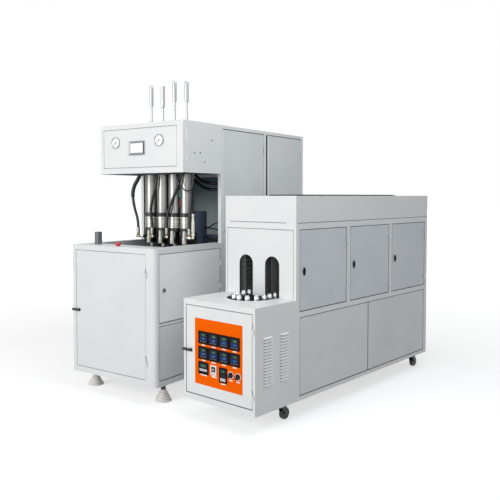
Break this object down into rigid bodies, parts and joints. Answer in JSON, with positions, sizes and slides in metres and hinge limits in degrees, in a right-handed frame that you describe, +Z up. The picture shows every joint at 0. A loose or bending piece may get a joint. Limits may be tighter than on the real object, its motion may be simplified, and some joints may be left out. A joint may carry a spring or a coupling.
{
  "type": "bottle blow moulding machine with preform oven",
  "caption": "Semi-automatic bottle blowing machine: a press with a row of stretch rods over a mould clamp, and a long infrared preform oven on casters beside it.",
  "frame": {"origin": "centre of the pad of the press's front right levelling foot, on the floor", "axes": "+Z up, the longest way, from the floor to the tops of the stretch rods; +Y from the press's front to its back, where the air inlet points; +X to the press's right, where the oven stands"},
  "size_m": [1.9059, 2.197, 2.265],
  "materials": {
    "casing_paint": "semi-gloss powder coat",
    "door_paint": "semi-gloss powder coat",
    "dark_blue_paint": "satin",
    "grey_paint": "satin",
    "black_plastic": "matte",
    "foot_plastic": "matte",
    "red_plastic": "gloss",
    "chrome_tube": "polished",
    "rod_steel": "ground",
    "zinc_steel": "brushed",
    "platen_aluminium": "milled",
    "clamp_steel": "machined",
    "hose_rubber": "smooth",
    "fitting_brass": "plated",
    "screen_plastic": "gloss",
    "gauge_metal": "polished",
    "needle_paint": "matte",
    "instrument_plastic": "satin",
    "chain_steel": "oiled",
    "sprocket_steel": "oiled",
    "reflector_aluminium": "polished",
    "lamp_glass": "clear quartz",
    "caster_fork_steel": "zinc plated",
    "wheel_rubber": "matte"
  },
  "bodies": {
    "machine": {"base_cabinet": "casing_paint", "table_top": "casing_paint", "table_post": "grey_paint", "head_casing": "casing_paint", "head_front_panel": "door_paint", "pressure_gauges": "gauge_metal", "touch_screen": "screen_plastic", "rear_cabinet": "casing_paint", "lower_side_covers": "door_paint", "levelling_feet": "foot_plastic", "station_bracket": "dark_blue_paint", "seal_cylinders": "platen_aluminium", "stretch_cylinders": "chrome_tube", "air_hoses": "hose_rubber", "air_fittings": "fitting_brass", "clamp_frame": "clamp_steel", "oven_casing": "casing_paint", "control_cabinet": "casing_paint", "slot_front_panel": "door_paint", "carrier_bed": "zinc_steel", "carrier_chain": "chain_steel", "lamp_reflectors": "reflector_aluminium", "heating_lamps": "lamp_glass", "front_sprocket": "sprocket_steel", "rear_sprocket": "sprocket_steel"},
    "base_front_door": {"base_front_door": "door_paint"},
    "base_front_latch": {"base_front_latch": "black_plastic"},
    "base_side_door": {"base_side_door": "door_paint"},
    "base_side_latch": {"base_side_latch": "black_plastic"},
    "rear_door_front": {"rear_door_front": "door_paint"},
    "rear_door_back": {"rear_door_back": "door_paint"},
    "control_door": {"control_door": "door_paint", "panel_instruments": "instrument_plastic"},
    "control_latch": {"control_latch": "black_plastic"},
    "selector_knob_left": {"selector_knob_left": "black_plastic"},
    "selector_knob_right": {"selector_knob_right": "black_plastic"},
    "oven_door_1": {"oven_door_1": "door_paint"},
    "oven_latch_1": {"oven_latch_1": "black_plastic"},
    "oven_door_2": {"oven_door_2": "door_paint"},
    "oven_latch_2": {"oven_latch_2": "black_plastic"},
    "oven_door_3": {"oven_door_3": "door_paint"},
    "oven_latch_3": {"oven_latch_3": "black_plastic"},
    "stop_button": {"stop_button": "red_plastic"},
    "stretch_rod_1": {"stretch_rod_1": "rod_steel"},
    "stretch_rod_2": {"stretch_rod_2": "rod_steel"},
    "stretch_rod_3": {"stretch_rod_3": "rod_steel"},
    "stretch_rod_4": {"stretch_rod_4": "rod_steel"},
    "blow_nozzles": {"blow_nozzles": "zinc_steel"},
    "front_platen": {"front_platen": "platen_aluminium"},
    "rear_platen": {"rear_platen": "platen_aluminium"},
    "gauge_needle_left": {"gauge_needle_left": "needle_paint"},
    "gauge_needle_right": {"gauge_needle_right": "needle_paint"},
    "caster_fork_1": {"caster_fork_1": "caster_fork_steel"},
    "caster_wheel_1": {"caster_wheel_1": "wheel_rubber"},
    "caster_fork_2": {"caster_fork_2": "caster_fork_steel"},
    "caster_wheel_2": {"caster_wheel_2": "wheel_rubber"},
    "caster_fork_3": {"caster_fork_3": "caster_fork_steel"},
    "caster_wheel_3": {"caster_wheel_3": "wheel_rubber"},
    "caster_fork_4": {"caster_fork_4": "caster_fork_steel"},
    "caster_wheel_4": {"caster_wheel_4": "wheel_rubber"}
  },
  "joints": [
    {"name": "base_front_door_swing", "type": "hinge", "parent": "machine", "child": "base_front_door", "pos_m": [-0.01975, -0.1512, 0.17], "axis": [0, 0, 1], "range_deg": [0, 110]},
    {"name": "base_front_latch_turn", "type": "hinge", "parent": "base_front_door", "child": "base_front_latch", "pos_m": [-0.681, -0.145, 0.578], "axis": [0, 1, 0], "range_deg": [0, 90]},
    {"name": "base_side_door_swing", "type": "hinge", "parent": "machine", "child": "base_side_door", "pos_m": [0.0772, 0.54625, 0.555], "axis": [0, 0, 1], "range_deg": [0, 20]},
    {"name": "base_side_latch_turn", "type": "hinge", "parent": "base_side_door", "child": "base_side_latch", "pos_m": [0.071, -0.0655, 0.771], "axis": [-1, 0, 0], "range_deg": [0, 90]},
    {"name": "rear_door_front_swing", "type": "hinge", "parent": "machine", "child": "rear_door_front", "pos_m": [0.0772, 1.12125, 1.13], "axis": [0, 0, 1], "range_deg": [0, 34]},
    {"name": "rear_door_back_swing", "type": "hinge", "parent": "machine", "child": "rear_door_back", "pos_m": [0.0772, 1.70525, 1.13], "axis": [0, 0, 1], "range_deg": [0, 45]},
    {"name": "control_door_swing", "type": "hinge", "parent": "machine", "child": "control_door", "pos_m": [0.89169, -0.21985, 0.162], "axis": [0, 0, 1], "range_deg": [0, 110]},
    {"name": "control_latch_turn", "type": "hinge", "parent": "control_door", "child": "control_latch", "pos_m": [0.38433, -0.15661, 0.434], "axis": [0.1116, 0.9937, 0], "range_deg": [0, 90]},
    {"name": "selector_knob_left_turn", "type": "hinge", "parent": "control_door", "child": "selector_knob_left", "pos_m": [0.72419, -0.19479, 0.335], "axis": [0.1116, 0.9937, 0], "range_deg": [-45, 45]},
    {"name": "selector_knob_right_turn", "type": "hinge", "parent": "control_door", "child": "selector_knob_right", "pos_m": [0.78182, -0.20126, 0.335], "axis": [0.1116, 0.9937, 0], "range_deg": [-45, 45]},
    {"name": "oven_door_1_swing", "type": "hinge", "parent": "machine", "child": "oven_door_1", "pos_m": [1.02491, 0.72464, 0.682], "axis": [0, 0, 1], "range_deg": [0, 110]},
    {"name": "oven_latch_1_turn", "type": "hinge", "parent": "oven_door_1", "child": "oven_latch_1", "pos_m": [0.96469, 0.24411, 0.929], "axis": [-0.9937, 0.1116, 0], "range_deg": [0, 90]},
    {"name": "oven_door_2_swing", "type": "hinge", "parent": "machine", "child": "oven_door_2", "pos_m": [1.08866, 1.29207, 0.682], "axis": [0, 0, 1], "range_deg": [0, 110]},
    {"name": "oven_latch_2_turn", "type": "hinge", "parent": "oven_door_2", "child": "oven_latch_2", "pos_m": [1.02844, 0.81154, 0.929], "axis": [-0.9937, 0.1116, 0], "range_deg": [0, 90]},
    {"name": "oven_door_3_swing", "type": "hinge", "parent": "machine", "child": "oven_door_3", "pos_m": [1.15241, 1.8595, 0.682], "axis": [0, 0, 1], "range_deg": [0, 110]},
    {"name": "oven_latch_3_turn", "type": "hinge", "parent": "oven_door_3", "child": "oven_latch_3", "pos_m": [1.09219, 1.37897, 0.929], "axis": [-0.9937, 0.1116, 0], "range_deg": [0, 90]},
    {"name": "stop_button_press", "type": "slide", "parent": "machine", "child": "stop_button", "axis": [0, 0, -1], "range_m": [0, 0.005], "stiffness_N_per_m": 1500, "springref_m": -0.003},
    {"name": "stretch_rod_1_stroke", "type": "slide", "parent": "machine", "child": "stretch_rod_1", "axis": [0, 0, -1], "range_m": [0, 0.3]},
    {"name": "stretch_rod_2_stroke", "type": "slide", "parent": "machine", "child": "stretch_rod_2", "axis": [0, 0, -1], "range_m": [0, 0.3]},
    {"name": "stretch_rod_3_stroke", "type": "slide", "parent": "machine", "child": "stretch_rod_3", "axis": [0, 0, -1], "range_m": [0, 0.3]},
    {"name": "stretch_rod_4_stroke", "type": "slide", "parent": "machine", "child": "stretch_rod_4", "axis": [0, 0, -1], "range_m": [0, 0.3]},
    {"name": "nozzle_lowering", "type": "slide", "parent": "machine", "child": "blow_nozzles", "axis": [0, 0, -1], "range_m": [0, 0.03]},
    {"name": "front_platen_close", "type": "slide", "parent": "machine", "child": "front_platen", "axis": [0, 1, 0], "range_m": [0, 0.1]},
    {"name": "rear_platen_close", "type": "slide", "parent": "machine", "child": "rear_platen", "axis": [0, -1, 0], "range_m": [0, 0.1]},
    {"name": "gauge_needle_left_turn", "type": "hinge", "parent": "machine", "child": "gauge_needle_left", "pos_m": [-0.586, 0.129, 1.791], "axis": [0, 1, 0], "range_deg": [0, 270]},
    {"name": "gauge_needle_right_turn", "type": "hinge", "parent": "machine", "child": "gauge_needle_right", "pos_m": [-0.15, 0.129, 1.791], "axis": [0, 1, 0], "range_deg": [0, 270]},
    {"name": "caster_fork_1_swivel", "type": "hinge", "parent": "machine", "child": "caster_fork_1", "pos_m": [0.8686, 0.14119, 0.101], "axis": [0, 0, 1], "continuous": true},
    {"name": "caster_wheel_1_roll", "type": "hinge", "parent": "caster_fork_1", "child": "caster_wheel_1", "pos_m": [0.87139, 0.16603, 0.0375], "axis": [0.9937, -0.1116, 0], "continuous": true},
    {"name": "caster_fork_2_swivel", "type": "hinge", "parent": "machine", "child": "caster_fork_2", "pos_m": [0.44029, 0.18931, 0.101], "axis": [0, 0, 1], "continuous": true},
    {"name": "caster_wheel_2_roll", "type": "hinge", "parent": "caster_fork_2", "child": "caster_wheel_2", "pos_m": [0.44309, 0.21415, 0.0375], "axis": [0.9937, -0.1116, 0], "continuous": true},
    {"name": "caster_fork_3_swivel", "type": "hinge", "parent": "machine", "child": "caster_fork_3", "pos_m": [1.05839, 1.83056, 0.101], "axis": [0, 0, 1], "continuous": true},
    {"name": "caster_wheel_3_roll", "type": "hinge", "parent": "caster_fork_3", "child": "caster_wheel_3", "pos_m": [1.06118, 1.85541, 0.0375], "axis": [0.9937, -0.1116, 0], "continuous": true},
    {"name": "caster_fork_4_swivel", "type": "hinge", "parent": "machine", "child": "caster_fork_4", "pos_m": [0.63009, 1.87868, 0.101], "axis": [0, 0, 1], "continuous": true},
    {"name": "caster_wheel_4_roll", "type": "hinge", "parent": "caster_fork_4", "child": "caster_wheel_4", "pos_m": [0.63288, 1.90352, 0.0375], "axis": [0.9937, -0.1116, 0], "continuous": true}
  ],
  "couplings": [
    {"joint": "rear_platen_close", "follows": "front_platen_close", "ratio": 1}
  ]
}
